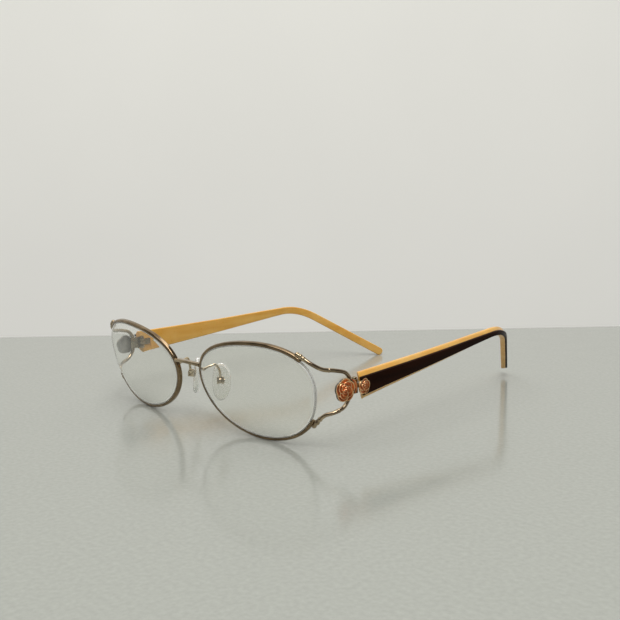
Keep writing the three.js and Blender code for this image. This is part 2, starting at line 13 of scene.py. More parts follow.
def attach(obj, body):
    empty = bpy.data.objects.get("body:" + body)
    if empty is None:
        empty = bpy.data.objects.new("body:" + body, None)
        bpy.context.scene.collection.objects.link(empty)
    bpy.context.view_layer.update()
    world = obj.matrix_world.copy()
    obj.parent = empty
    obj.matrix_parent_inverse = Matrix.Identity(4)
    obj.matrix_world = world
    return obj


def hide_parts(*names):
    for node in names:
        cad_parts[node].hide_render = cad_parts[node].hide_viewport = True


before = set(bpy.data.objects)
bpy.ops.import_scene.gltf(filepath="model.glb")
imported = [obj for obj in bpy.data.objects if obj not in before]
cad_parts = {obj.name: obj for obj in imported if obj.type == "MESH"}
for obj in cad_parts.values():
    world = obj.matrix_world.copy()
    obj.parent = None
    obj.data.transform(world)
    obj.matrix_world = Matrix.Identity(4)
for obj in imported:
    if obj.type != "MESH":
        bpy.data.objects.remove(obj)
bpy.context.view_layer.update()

MM = 0.001
LEFT = 1
RIGHT = -1
SIDES = {LEFT: "left", RIGHT: "right"}

# ---- Driving dimensions, in millimetres ----------------------------------------------------
# Most are the solids' own. What softens, joins or seats the fine skins is only theirs.

DEPTH_CENTRE = 72.47
LOWEST_POINT = 0.223

LENS_CENTRE_X = 34.5
LENS_CENTRE_Z = 17.85
FACE_WRAP = math.radians(6.4)
FRONT_TILT = math.radians(11.5)
LENS_CURVE_RADIUS = 106.6
RIM_HALF_WIDTH = 27.56
RIM_HALF_HEIGHT = 16.98
RIM_OVAL = -0.021
RIM_EGG = 0.037
RIM_EGG_ANGLE = math.radians(44)
RIM_SQUARE = -0.0125
RIM_TOP_END = math.radians(41)
RIM_BOTTOM_END = math.radians(328)
RIM_WIDTH = 1.1
RIM_DEPTH = 1.6
RIM_END_SHARE = 0.72
LENS_THICKNESS = 1.5
LENS_INSET = RIM_WIDTH / 2 + 0.04
LENS_CHAMFER = 0.12
GROOVE_HALF = 0.3
GROOVE_DEPTH = 0.45
THREAD_RADIUS = 0.22
THREAD_TUCK = math.radians(5)

BRIDGE_HALF_SPAN = 7.6
BRIDGE_Y = -1.1
BRIDGE_Z = 23.5
BRIDGE_HEIGHT = 1.3
BRIDGE_DEPTH = 2.2
BRIDGE_RISE = 0.4
BRIDGE_BOW = 0.8
BRIDGE_CLEARANCE = 0.25
BRIDGE_WAIST = 0.1
BRIDGE_FOOT = 0.12
BRIDGE_FOOT_LENGTH = 0.16

WIRE_RADIUS = 0.68
WIRE_LIFT = RIM_WIDTH / 2 + WIRE_RADIUS + 0.06
SOLDER_DEPTH = 0.22
WIRE_LAP = math.radians(3.5)
WIRE_LANDING = (1.25, -3.7)
UPPER_WIRE_BENDS = [(58.8, 4.1, 29.7), (61.2, 7.0, 27.7), (62.9, 11.2, 26.9), (63.6, 15.2, 25.6)]
LOWER_WIRE_BENDS = [(60.1, 8.8, 12.1), (62.4, 10.9, 13.1), (63.4, 14.4, 14.5)]
# Beads as (share of the way along the wire, width as such a share, height in wire radii).
UPPER_WIRE_BEADS = [(0.035, 0.02, 0.25), (0.095, 0.02, 0.42), (0.15, 0.014, 0.3)]
LOWER_WIRE_BEADS = [(0.05, 0.03, 0.25), (0.14, 0.03, 0.42), (0.225, 0.02, 0.28)]
# The cane joint's place, as a share of the way along.
UPPER_WIRE_JOINT = 0.56
LOWER_WIRE_JOINT = 0.62

TEMPLE_FRONT = Vector((65.0, 20.5, 20.6))
TEMPLE_CORNER = Vector((60.3, 110.3, 26.4))
TEMPLE_TIP = Vector((37.5, 145.7, 2.1))
BEND_REACH = 11
TEMPLE_SAG = 0.2
TEMPLE_TAPER = 0.9
LEFT_TEMPLE_LIFT = math.radians(1.3)
TEMPLE_THICKNESS = 2.8
FRONT_HEIGHT = 9.4
FRONT_MITRE = 0.55
FRONT_LEAN = 0.14
# The front end's softened edge as (distance back, how far the outline is drawn in).
FRONT_SOFTENING = [(0.0, 0.32), (0.04, 0.16), (0.14, 0.05), (0.3, 0.0)]
BEND_HEIGHT = 3.4
TIP_HEIGHT = 3.8
TIP_REACH = 0.95
PANEL_THICKNESS = 0.8
LAYER_GAP = 0.01
TOP_BEVEL = 1.6
BEND_TOP_BEVEL = 1.4
BOTTOM_BEVEL = 1.75
BEND_BOTTOM_BEVEL = 0.3
BEVEL_SHARE = 0.85
BEVEL_DEPTH = 0.5
SEAT_DEPTH = 0.3
SEAT_LENGTH = 5.2

AXIS_INWARD = 2.6
AXIS_BACK = 0.1
HINGE_HALF = 2.3

ROSE_CENTRE = Vector((64.05, 13.8, 20.35))
ROSE_TURN = math.radians(7)
ROSE_RADIUS = 3.95
ROSE_WALL = 1.0
ROSE_DOME = 0.45
ROSE_EDGE = 0.55
PETAL_OFFSET = (1.9, 0.6)
PETAL_RADIUS = 2.85
PETAL_LIFT = 0.3
PETAL_THICKNESS = 0.85
PETAL_GAP = 0.06
# How far the petal falls towards the rose, between its ribs and at its lip.
PETAL_FALL = 0.32
PETAL_RIB = 0.12
PETAL_LIP = 0.08
TEMPLE_ROSE_RADIUS = 2.7
TEMPLE_ROSE_BACK = 0.75
TEMPLE_ROSE_CHORD = 2.5
TEMPLE_ROSE_RAISE = 0.25
TEMPLE_ROSE_EDGE = 0.45
TEMPLE_ROSE_GAP = 0.07
# The pocket's cutter, as heights over the middle plane of the temple.
POCKET_FLOOR = -0.2
POCKET_TOP = 3.0

PAD_BOX = Vector((9.5, 7.2, 16.8))
PAD_TURN = math.radians(45)
PAD_LEAN = math.radians(6)
PAD_WIDTH = 7.1
PAD_LENGTH = 13.6
PAD_THICKNESS = 2.2
PAD_SKIN = -3.8
PAD_DROP = 0.7
PAD_FLATTENING = 0.1
PAD_TAPER = 0.05
PAD_SCREW_RADIUS = 0.35
EYE_RADIUS = 0.95
EYE_THICKNESS = 0.8
EYE_HOLE = 0.5
EYE_WAIST = 0.46
EYE_FLAT = 0.36
EYE_SOFTENING = 0.06
ARM_RADIUS = 0.45
# The solder foot as (place, width, height), like a bead.
ARM_FOOT = (0.0, 0.05, 0.35)
ARM_BENDS = [(7.9, 1.15, 21.6), (8.2, 3.6, 22.4), (8.9, 5.6, 22.7), (9.5, 6.8, 20.6)]

# ---- Steps of the fine surfaces ------------------------------------------------------------

SPLINE_STEPS = 40
RIM_STEPS = 240
LENS_SPOKES = 200
LENS_CIRCLES = 14
THREAD_STEPS = 80
THREAD_SIDES = 12
BRIDGE_STEPS = 60
WIRE_STEPS = 240
WIRE_SIDES = 28
ARM_STEPS = 140
ARM_SIDES = 20
STRAIGHT_STEPS = 60
BEND_STEPS = 48
TAIL_STEPS = 24
TIP_STEPS = 14
POCKET_SIDES = 90
PETAL_STEPS = 90
PETAL_CROSS_STEPS = 22
PAD_SIDES = 72
EYE_SIDES = 40

# Edges that turn by less than this many degrees are shaded smooth.
PLAIN_SMOOTH = 35
CARVED_SMOOTH = 32
MACHINED_SMOOTH = 30
LENS_SMOOTH = 40
BAR_SMOOTH = 50
WIRE_SMOOTH = 60
ROSE_SMOOTH = 70

# Small machined pieces: vertices nearer than this many metres are welded, flat spots are merged,
# and edges that turn by more than this many degrees are bevelled in this many steps.
WELD_DISTANCE = 2e-6
FLAT_ANGLE = 1
BEVEL_ANGLE = 40
BEVEL_STEPS = 3

# Noise keeps to the middle of its range, between about these shares.
NOISE_LOW = 0.3
NOISE_HIGH = 0.7

# ---- Camera, stage and light, in metres ----------------------------------------------------

CAMERA_PLACE = Vector((0.2507, -0.2534, 0.0831))
CAMERA_AZIMUTH = math.radians(46.0)
CAMERA_PITCH = math.radians(-7.8)
CAMERA_ROLL = math.radians(-1.03)
CAMERA_LENS = 49.9
FLOOR_DEPTH = 0.51
WALL_GAP = 0.25
WALL_DROP = 1.0
STAGE_REACH = 3.0

# Lights as (name, place, what it faces, size, watts, colour).
LIGHTS = [
    ("key", (0.1, -0.5, 1.2), (0, 0, 0), (1.3, 0.8), 8.2, (1.0, 0.985, 0.96)),
    ("overhead", (0.05, 0.1, 1.1), (0, 0.05, 0), (0.9, 0.35), 3.0, (1.0, 0.99, 0.97)),
    ("fill", (0.5, -0.35, 0.75), (0, 0, 0.02), (0.4, 0.4), 3.0, (1.0, 0.985, 0.96)),
]
SKY_COLOUR = (0.80, 0.79, 0.76, 1)
SKY_STRENGTH = 0.2


# ---- Mesh helpers --------------------------------------------------------------------------

def to_row(point, side=LEFT):
    """A drawn point, in millimetres, as a point in the row frame, in metres."""
    x, y, z = point
    return Vector((side * x * MM, (y - DEPTH_CENTRE) * MM, (z - LOWEST_POINT) * MM))


def smooth_by_angle(mesh, degrees):
    mesh.shade_smooth()
    mesh.set_sharp_from_angle(angle=math.radians(degrees))


def declare(piece, body, stands_for=()):
    """Says which body a piece rides on and the CAD nodes it stands for."""
    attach(piece, body)
    if stands_for:
        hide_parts(*stands_for)
    return piece


def build(name, side, skin, body, materials, stands_for=(), angle=PLAIN_SMOOTH):
    """A piece from (points, faces, material numbers), drawn in millimetres for the left side."""
    points, faces, numbers = skin
    if side == RIGHT:
        faces = [tuple(reversed(face)) for face in faces]
    mesh = bpy.data.meshes.new(name)
    mesh.from_pydata([to_row(point, side) for point in points], [], faces)
    for material in materials:
        mesh.materials.append(material)
    for polygon, number in zip(mesh.polygons, numbers):
        polygon.material_index = number
    smooth_by_angle(mesh, angle)
    piece = bpy.data.objects.new(name, mesh)
    bpy.context.scene.collection.objects.link(piece)
    if body:
        declare(piece, body, stands_for)
    return piece


def merged(*skins):
    """Several skins as one."""
    points, faces, numbers = [], [], []
    for more_points, more_faces, more_numbers in skins:
        start = len(points)
        points += more_points
        faces += [tuple(i + start for i in face) for face in more_faces]
        numbers += more_numbers
    return points, faces, numbers


def loft(rings):
    """A closed skin through rings that turn by the right-hand rule about the travel."""
    size = len(rings[0])
    points = [point for ring in rings for point in ring]
    faces = []
    for ring in range(len(rings) - 1):
        for i in range(size):
            a = ring * size + i
            b = ring * size + (i + 1) % size
            faces.append((a, b, b + size, a + size))
    last = (len(rings) - 1) * size
    faces.append(tuple(range(size - 1, -1, -1)))
    faces.append(tuple(range(last, last + size)))
    return points, faces, [0] * len(faces)


def spline(points, steps):
    """A centripetal Catmull-Rom curve through the points, in even steps."""
    points = [Vector(point) for point in points]
    points = [2 * points[0] - points[1], *points, 2 * points[-1] - points[-2]]
    dense = []
    for p0, p1, p2, p3 in zip(points, points[1:], points[2:], points[3:]):
        t1 = (p1 - p0).length ** 0.5
        t2 = t1 + (p2 - p1).length ** 0.5
        t3 = t2 + (p3 - p2).length ** 0.5
        for i in range(SPLINE_STEPS):
            t = t1 + (t2 - t1) * i / SPLINE_STEPS
            a1 = p0.lerp(p1, t / t1)
            a2 = p1.lerp(p2, (t - t1) / (t2 - t1))
            a3 = p2.lerp(p3, (t - t2) / (t3 - t2))
            b1 = a1.lerp(a2, t / t2)
            b2 = a2.lerp(a3, (t - t1) / (t3 - t1))
            dense.append(b1.lerp(b2, (t - t1) / (t2 - t1)))
    return evenly([*dense, points[-2]], steps)


def evenly(points, steps):
    """The same path in steps of equal length."""
    reach = [0.0]
    for here, there in zip(points, points[1:]):
        reach.append(reach[-1] + (there - here).length)
    result = []
    i = 0
    for step in range(steps + 1):
        goal = reach[-1] * step / steps
        while i + 2 < len(points) and reach[i + 1] < goal:
            i += 1
        span = reach[i + 1] - reach[i]
        result.append(points[i].lerp(points[i + 1], (goal - reach[i]) / span if span else 0))
    return result


def tube(path, radius, sides):
    """A round wire along the path; radius is a function of the share of the way along."""
    rings = []
    across = None
    for i, centre in enumerate(path):
        along = (path[min(i + 1, len(path) - 1)] - path[max(i - 1, 0)]).normalized()
        across = along.orthogonal() if across is None else across - along * across.dot(along)
        across.normalize()
        up = along.cross(across)
        size = radius(i / (len(path) - 1))
        rings.append([
            centre + size * (math.cos(a) * across + math.sin(a) * up)
            for a in (2 * math.pi * k / sides for k in range(sides))
        ])
    return loft(rings)


def rounded(corners, steps=4):
    """A closed outline through (x, y, rounding) corners, which run counterclockwise."""
    outline = []
    count = len(corners)
    most = 0.45
    for i, (x, y, rounding) in enumerate(corners):
        corner = Vector((x, y))
        before = Vector(corners[i - 1][:2]) - corner
        after = Vector(corners[(i + 1) % count][:2]) - corner
        reach = min(rounding, most * before.length, most * after.length)
        start = corner + before.normalized() * reach
        end = corner + after.normalized() * reach
        for k in range(steps + 1):
            t = k / steps
            outline.append(start.lerp(corner, t).lerp(corner.lerp(end, t), t))
    return outline


def bump_at(share, centre, width, height):
    """A smooth swelling along a wire."""
    return height * math.exp(-((share - centre) / width) ** 2)


def carve(piece, cutter):
    """Cuts the cutter out of the piece and removes the cutter."""
    modifier = piece.modifiers.new("cut", "BOOLEAN")
    modifier.operation = "DIFFERENCE"
    modifier.solver = "EXACT"
    modifier.object = cutter
    settle(piece)
    bpy.data.objects.remove(cutter)


def settle(piece):
    """Replaces the piece's mesh by what its modifiers make of it."""
    graph = bpy.context.evaluated_depsgraph_get()
    graph.update()
    mesh = bpy.data.meshes.new_from_object(piece.evaluated_get(graph))
    piece.modifiers.clear()
    piece.data = mesh


def polished_copy(node, name, body, material, width=0.12):
    """A CAD node's shape with its edges rounded, for small machined pieces."""
    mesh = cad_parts[node].data.copy()
    mesh.name = name
    mesh.materials.clear()
    mesh.materials.append(material)
    shape = bmesh.new()
    shape.from_mesh(mesh)
    bmesh.ops.remove_doubles(shape, verts=shape.verts, dist=WELD_DISTANCE)
    bmesh.ops.dissolve_limit(shape, angle_limit=math.radians(FLAT_ANGLE), verts=shape.verts,
                             edges=shape.edges)
    for face in shape.faces:
        face.material_index = 0
    shape.to_mesh(mesh)
    shape.free()
    piece = bpy.data.objects.new(name, mesh)
    bpy.context.scene.collection.objects.link(piece)
    bevel = piece.modifiers.new("bevel", "BEVEL")
    bevel.width = width * MM
    bevel.segments = BEVEL_STEPS
    bevel.limit_method = "ANGLE"
    bevel.angle_limit = math.radians(BEVEL_ANGLE)
    bevel.use_clamp_overlap = True
    settle(piece)
    smooth_by_angle(piece.data, MACHINED_SMOOTH)
    return declare(piece, body, [node])


# ---- Materials -----------------------------------------------------------------------------

def srgb(code):
    """A web colour as linear values."""
    channels = [int(code[i:i + 2], 16) / 255 for i in (0, 2, 4)]
    linear = [c / 12.92 if c <= 0.04045 else ((c + 0.055) / 1.055) ** 2.4 for c in channels]
    return (*linear, 1.0)


class Look:
    """A Principled material with helpers for what varies over its surface."""

    def __init__(self, name, colour, **sockets):
        self.material = bpy.data.materials.new(name)
        self.material.use_nodes = True
        self.tree = self.material.node_tree
        self.shader = self.tree.nodes["Principled BSDF"]
        self.shader.inputs["Base Color"].default_value = srgb(colour)
        self.material.diffuse_color = srgb(colour)
        for socket, value in sockets.items():
            self.shader.inputs[socket.replace("_", " ")].default_value = value

    def link(self, source, target):
        self.tree.links.new(source, target)

    def noise(self, scale, detail=3.0, stretch=(1, 1, 1)):
        """Noise over the row frame; scale is in features per metre."""
        place = self.tree.nodes.new("ShaderNodeTexCoord")
        mapping = self.tree.nodes.new("ShaderNodeMapping")
        mapping.inputs["Scale"].default_value = [scale * s for s in stretch]
        texture = self.tree.nodes.new("ShaderNodeTexNoise")
        texture.inputs["Scale"].default_value = 1.0
        texture.inputs["Detail"].default_value = detail
        self.link(place.outputs["Object"], mapping.inputs["Vector"])
        self.link(mapping.outputs["Vector"], texture.inputs["Vector"])
        return texture.outputs["Fac"]

    def ramp(self, value, low, high, first, last):
        """Colours between two shares of a value."""
        ramp = self.tree.nodes.new("ShaderNodeValToRGB")
        ramp.color_ramp.elements[0].position = low
        ramp.color_ramp.elements[1].position = high
        ramp.color_ramp.elements[0].color = srgb(first)
        ramp.color_ramp.elements[1].color = srgb(last)
        self.link(value, ramp.inputs["Fac"])
        return ramp.outputs["Color"]

    def mix(self, share, first, second):
        """Blends two colour outputs."""
        node = self.tree.nodes.new("ShaderNodeMix")
        node.data_type = "RGBA"
        self.link(share, node.inputs["Factor"])
        self.link(first, node.inputs["A"])
        self.link(second, node.inputs["B"])
        return node.outputs["Result"]

    def spread(self, value, low, high):
        """Noise spread over another range."""
        node = self.tree.nodes.new("ShaderNodeMapRange")
        node.inputs["From Min"].default_value = NOISE_LOW
        node.inputs["From Max"].default_value = NOISE_HIGH
        node.inputs["To Min"].default_value = low
        node.inputs["To Max"].default_value = high
        self.link(value, node.inputs["Value"])
        return node.outputs["Result"]

    def attribute(self, name):
        node = self.tree.nodes.new("ShaderNodeAttribute")
        node.attribute_name = name
        return node.outputs["Fac"]

    def colour(self, source):
        self.link(source, self.shader.inputs["Base Color"])

    def roughness(self, source):
        self.link(source, self.shader.inputs["Roughness"])

    def bump(self, height, distance, strength=1.0):
        """Surface relief; distance is in metres."""
        node = self.tree.nodes.new("ShaderNodeBump")
        node.inputs["Distance"].default_value = distance
        node.inputs["Strength"].default_value = strength
        self.link(height, node.inputs["Height"])
        self.link(node.outputs["Normal"], self.shader.inputs["Normal"])


def plated(name, light, dark, low, high):
    """Polished plating: slow changes of tone, fine wear in the gloss, faint draw marks."""
    look = Look(name, light, Metallic=1.0)
    look.colour(look.ramp(look.noise(260), 0.35, 0.7, dark, light))
    look.roughness(look.spread(look.noise(1400, 5.0), low, high))
    look.bump(look.noise(5200, 2.0), 1.2e-5, 0.35)
    return look.material


def ochre_acetate():
    """Honey acetate: long soft streaks under a polished skin."""
    look = Look("ochre_acetate", "e2a94a", IOR=1.48, Coat_Weight=0.35, Coat_Roughness=0.12,
                Subsurface_Weight=0.12, Subsurface_Scale=0.0012)
    look.shader.inputs["Subsurface Radius"].default_value = (1.0, 0.55, 0.2)
    streaks = look.ramp(look.noise(420, 4.0, (1, 0.06, 1)), 0.3, 0.72, "dd9c38", "f2c062")
    clouds = look.ramp(look.noise(120, 2.0), 0.35, 0.75, "e5aa45", "f3c572")
    look.colour(look.mix(look.noise(60, 1.0), streaks, clouds))
    look.roughness(look.spread(look.noise(900, 4.0), 0.26, 0.4))
    look.bump(look.noise(2600, 3.0), 1.5e-5, 0.25)
    return look.material


def brown_acetate():
    """The dark outer layer, almost black, with a red-brown cast where it is thin."""
    look = Look("brown_acetate", "1e0b05", IOR=1.48, Specular_IOR_Level=0.03)
    look.colour(look.ramp(look.noise(380, 4.0, (1, 0.08, 1)), 0.3, 0.75, "170803", "2b1207"))
    look.roughness(look.spread(look.noise(700, 4.0), 0.14, 0.26))
    look.bump(look.noise(2400, 3.0), 1.2e-5, 0.2)
    return look.material


def rose_enamel(name, deep, bright, dark, gilt):
    """Copper enamel, darkened with painted shade where petals lap, pale gold on their lips."""
    look = Look(name, bright, Metallic=0.8, Coat_Weight=0.5, Coat_Roughness=0.08)
    enamel = look.ramp(look.noise(700, 3.0), 0.3, 0.72, deep, bright)
    # Painted shade: the dark enamel tone laid by the shadow attribute where petals lap and between
    # them.
    painted_shade = look.ramp(look.noise(900, 2.0), 0.3, 0.72, dark, deep)
    gold = look.ramp(look.noise(1500, 3.0), 0.3, 0.7, gilt, "ffe2b4")
    shaded = look.mix(look.attribute("shadow"), enamel, painted_shade)
    look.colour(look.mix(look.attribute("gilt"), shaded, gold))
    look.roughness(look.spread(look.noise(1800, 4.0), 0.16, 0.3))
    look.bump(look.noise(4200, 3.0), 2.0e-5, 0.3)
    return look.material


def clear_lens():
    """Polished lens plastic."""
    look = Look("lens_clear", "fcfcf9", IOR=1.5, Transmission_Weight=1.0, Roughness=0.0)
    look.bump(look.noise(40, 1.0), 2.0e-6, 0.1)
    return look.material


def lens_edge():
    """The ground edge of a lens, finely frosted."""
    look = Look("lens_edge", "f4f4f1", IOR=1.5, Transmission_Weight=0.3)
    look.roughness(look.spread(look.noise(2600, 4.0), 0.3, 0.5))
    look.bump(look.noise(7000, 2.0), 2.0e-5, 0.5)
    return look.material


def silicone():
    """Soft clear silicone, a little milky."""
    look = Look("silicone_clear", "fbfbf8", IOR=1.43, Transmission_Weight=0.94)
    look.roughness(look.spread(look.noise(600, 3.0), 0.03, 0.1))
    look.bump(look.noise(900, 3.0), 2.5e-5, 0.3)
    return look.material


def nylon():
    """Clear monofilament."""
    look = Look("nylon_thread", "eeeeea", IOR=1.53, Transmission_Weight=0.6)
    look.roughness(look.spread(look.noise(3000, 2.0), 0.2, 0.35))
    return look.material


def pale_floor():
    """A plain pale worktop with a soft gloss and a faint even grain."""
    look = Look("floor_pale", "9fa29c", IOR=1.45)
    grain = look.noise(700, 3.0)
    look.colour(look.ramp(grain, 0.3, 0.75, "9b9e98", "a4a7a1"))
    look.roughness(look.spread(look.noise(90, 3.0), 0.12, 0.18))
    look.bump(grain, 1.5e-5, 0.12)
    return look.material


def pale_wall():
    look = Look("wall_pale", "bcbab5", Roughness=0.85, Emission_Strength=0.45)
    look.shader.inputs["Emission Color"].default_value = srgb("eff0ea")
    look.colour(look.ramp(look.noise(6, 3.0), 0.3, 0.75, "bab8b3", "bfbdb8"))
    return look.material


# Rim and wire platings: base tones darkened, painted dark reflections standing in for the dim
# surroundings the metal mirrors.
RIM_METAL_PAINTED_DARK = plated("rim_plating_painted_dark", "9b8569", "78664f", 0.08, 0.16)
PALE_METAL_PAINTED_DARK = plated("pale_gold_plating_painted_dark", "c0ad8f", "877560", 0.06, 0.12)
# Pad plating: a lighter copy of the wire plating, painted light for the pad pieces that sit in
# shade behind the lens.
PAD_METAL_PAINTED_LIGHT = plated("pad_plating_painted_light", "e8dbc2", "b8a588", 0.08, 0.16)
STEEL = plated("hinge_steel", "bdae92", "877963", 0.12, 0.24)
OCHRE = ochre_acetate()
BROWN = brown_acetate()
BARE_METAL = plated("bare_plating", "8f8b85", "6d6a66", 0.3, 0.45)
# The third colour of each enamel is the painted shade where petals lap.
ENAMEL = rose_enamel("rose_enamel", "a8400c", "ee7c2c", "451204", "ffc27a")
INLAY_ENAMEL = rose_enamel("inlay_enamel", "953c10", "d87630", "401204", "f2b76c")
LENS = clear_lens()
LENS_EDGE = lens_edge()
SILICONE = silicone()
NYLON = nylon()

# ---- Lens plane ----------------------------------------------------------------------------

LENS_PLACE = (
    Matrix.Translation((0, 0, LENS_CENTRE_Z)) @ Matrix.Rotation(FRONT_TILT, 4, "X")
    @ Matrix.Translation((LENS_CENTRE_X, 0, 0)) @ Matrix.Rotation(FACE_WRAP, 4, "Z")
)


def rim_outline(angle):
    size = (1 + RIM_OVAL * math.cos(2 * angle)
            + RIM_EGG * math.cos(3 * (angle - RIM_EGG_ANGLE))
            + RIM_SQUARE * math.cos(4 * angle))
    return Vector((RIM_HALF_WIDTH * math.cos(angle) * size,
                   RIM_HALF_HEIGHT * math.sin(angle) * size))


def rim_point(angle, outward=0.0):
    """A point on the rim's centre line in its flat drawing, moved outwards."""
    step = 1e-3
    along = (rim_outline(angle + step) - rim_outline(angle - step)).normalized()
    return rim_outline(angle) + Vector((along.y, -along.x)) * outward


def on_lens(flat, back=0.0):
    """A flat point on the lens's curved face, moved back from its middle surface."""
    sag = flat.length_squared / (2 * LENS_CURVE_RADIUS)
    return LENS_PLACE @ Vector((flat.x, back + sag, flat.y))


# ---- Front ---------------------------------------------------------------------------------

def rim_skin():
    """An oval band with a soft crown outside, drawn in a little at both ends."""
    wide, deep = RIM_WIDTH / 2, RIM_DEPTH / 2
    section = rounded([
        (-wide, -deep, 0.3), (wide, -deep, 0.5), (wide, deep, 0.4), (-wide, deep, 0.25),
    ], 6)
    rings = []
    for i in range(RIM_STEPS + 1):
        angle = RIM_TOP_END + (RIM_BOTTOM_END - RIM_TOP_END) * i / RIM_STEPS
        size = RIM_END_SHARE if i in (0, RIM_STEPS) else 1.0
        rings.append([on_lens(rim_point(angle, u * size), v * size) for u, v in section])
    return loft(rings)


def lens_skin():
    """A meniscus with a fine chamfer and a groove for the thread around its edge."""
    half = LENS_THICKNESS / 2
    floor_half = 0.6 * GROOVE_HALF
    edge = [
        (LENS_CHAMFER, -half), (0, -half + LENS_CHAMFER),
        (0, -GROOVE_HALF), (GROOVE_DEPTH, -floor_half),
        (GROOVE_DEPTH, floor_half), (0, GROOVE_HALF),
        (0, half - LENS_CHAMFER), (LENS_CHAMFER, half),
    ]
    middle = 0.04
    shares = [middle + (1 - middle) * (k / LENS_CIRCLES) for k in range(LENS_CIRCLES)]
    rings = [(share, LENS_CHAMFER, -half) for share in shares]
    rings += [(1.0, inset, depth) for inset, depth in edge]
    rings += [(share, LENS_CHAMFER, half) for share in reversed(shares)]
    angles = [-2 * math.pi * k / LENS_SPOKES for k in range(LENS_SPOKES)]
    points, faces, numbers = loft([
        [on_lens(rim_point(angle, -LENS_INSET - inset) * share, depth) for angle in angles]
        for share, inset, depth in rings
    ])
    first_edge = LENS_CIRCLES * LENS_SPOKES
    last_edge = first_edge + (len(edge) - 1) * LENS_SPOKES
    numbers[first_edge:last_edge] = [1] * (last_edge - first_edge)
    return points, faces, numbers


def thread_skin():
    """The thread across the bare edge, tucked a little way under both rim ends."""
    start = RIM_BOTTOM_END - 2 * math.pi - THREAD_TUCK
    end = RIM_TOP_END + THREAD_TUCK
    path = []
    for i in range(THREAD_STEPS + 1):
        angle = start + (end - start) * i / THREAD_STEPS
        path.append(on_lens(rim_point(angle, -LENS_INSET - THREAD_RADIUS)))
    return tube(path, lambda share: THREAD_RADIUS, THREAD_SIDES)


def bridge_skin():
    """The bar between the rims: softly rounded, wider where it is soldered on."""
    section = rounded([(-0.5, -0.5, 0.3), (0.5, -0.5, 0.3), (0.5, 0.5, 0.3), (-0.5, 0.5, 0.3)], 5)
    reach = BRIDGE_HALF_SPAN - BRIDGE_CLEARANCE
    rings = []
    for i in range(BRIDGE_STEPS + 1):
        x = reach * (2 * i / BRIDGE_STEPS - 1)
        share = x / BRIDGE_HALF_SPAN
        foot = bump_at(abs(share), 1.0, BRIDGE_FOOT_LENGTH, BRIDGE_FOOT)
        waist = 1 - BRIDGE_WAIST * math.cos(math.pi * share / 2) ** 2
        height = BRIDGE_HEIGHT * (waist + foot)
        depth = BRIDGE_DEPTH * waist
        bow, rise = BRIDGE_BOW * share ** 2, BRIDGE_RISE * share ** 2
        centre = Vector((x, BRIDGE_Y + bow, BRIDGE_Z - rise))
        rings.append([centre + Vector((0, u * depth, v * height)) for u, v in section])
    return loft(rings)


def temple_turn():
    return math.atan2(TEMPLE_FRONT.x - TEMPLE_CORNER.x, TEMPLE_CORNER.y - TEMPLE_FRONT.y)


def hinge_axis():
    turn = Matrix.Rotation(temple_turn(), 3, "Z")
    return TEMPLE_FRONT + turn @ Vector((-AXIS_INWARD, AXIS_BACK, 0))


def side_wire_path(rim_end, lap, bends, upright):
    """From the rim's outside, back, and upright down or up to the hinge block.

    upright is 1 for the wire that lands from above and -1 for the one that lands from below.
    """
    end = hinge_axis() + Vector((*WIRE_LANDING, upright * HINGE_HALF))
    start = [on_lens(rim_point(rim_end + k * lap, WIRE_LIFT - SOLDER_DEPTH)) for k in (2, 1)]
    approach = end + Vector((0, 0, upright * WIRE_RADIUS))
    return spline([*start, *bends, approach, end], WIRE_STEPS)


def side_wire_radius(beads, joint):
    """A wire that starts in a rounded point, with beads at the rim and one joint like a cane's."""
    ring = (joint, 0.008, 0.14)
    swelling = (joint - 0.03, 0.06, 0.06)
    point_length = 0.02
    blunt = 0.0004

    def radius(share):
        swell = sum(bump_at(share, *bump) for bump in (*beads, ring, swelling))
        point = min(1.0, math.sqrt(max(share, blunt) / point_length))
        return WIRE_RADIUS * (1 + swell) * point

    return radius


def upper_wire_skin():
    path = side_wire_path(RIM_TOP_END, WIRE_LAP, UPPER_WIRE_BENDS, 1)
    return tube(path, side_wire_radius(UPPER_WIRE_BEADS, UPPER_WIRE_JOINT), WIRE_SIDES)


def lower_wire_skin():
    path = side_wire_path(RIM_BOTTOM_END, -WIRE_LAP, LOWER_WIRE_BENDS, -1)
    return tube(path, side_wire_radius(LOWER_WIRE_BEADS, LOWER_WIRE_JOINT), WIRE_SIDES)


# ---- Ornaments -----------------------------------------------------------------------------

def petal_rings(rings):
    """Petals from the top down as (centre x, centre y, radius, foot height, lip height).

    Each ring is (petals, first angle, distance from the middle, radius, foot, lip). Lengths are
    shares of the rosette's radius, and heights are shares of its dome.
    """
    petals = []
    for count, first, distance, radius, foot, lip in rings:
        for k in range(count):
            angle = first + 2 * math.pi * k / count
            x, y = distance * math.cos(angle), distance * math.sin(angle)
            petals.append((x, y, radius, foot, lip))
    return petals


BIG_ROSE = petal_rings([
    (1, 0.0, 0.02, 0.13, 0.86, 1.0),
    (2, 0.9, 0.11, 0.21, 0.72, 0.95),
    (3, 0.2, 0.24, 0.30, 0.56, 0.86),
    (4, 1.0, 0.34, 0.44, 0.34, 0.68),
    (5, 0.3, 0.36, 0.64, 0.08, 0.46),
])
SMALL_ROSE = petal_rings([
    (1, 0.0, 0.04, 0.17, 0.8, 1.0),
    (3, 0.7, 0.22, 0.32, 0.5, 0.86),
    (5, 0.2, 0.36, 0.64, 0.1, 0.56),
])


def rosette_reach(petals, angle):
    """How far the petals reach from the middle in one direction."""
    reach = 0.0
    for x, y, radius, _, _ in petals:
        along = x * math.cos(angle) + y * math.sin(angle)
        aside = radius * radius - x * x - y * y + along * along
        if aside > 0:
            reach = max(reach, along + math.sqrt(aside))
    return reach


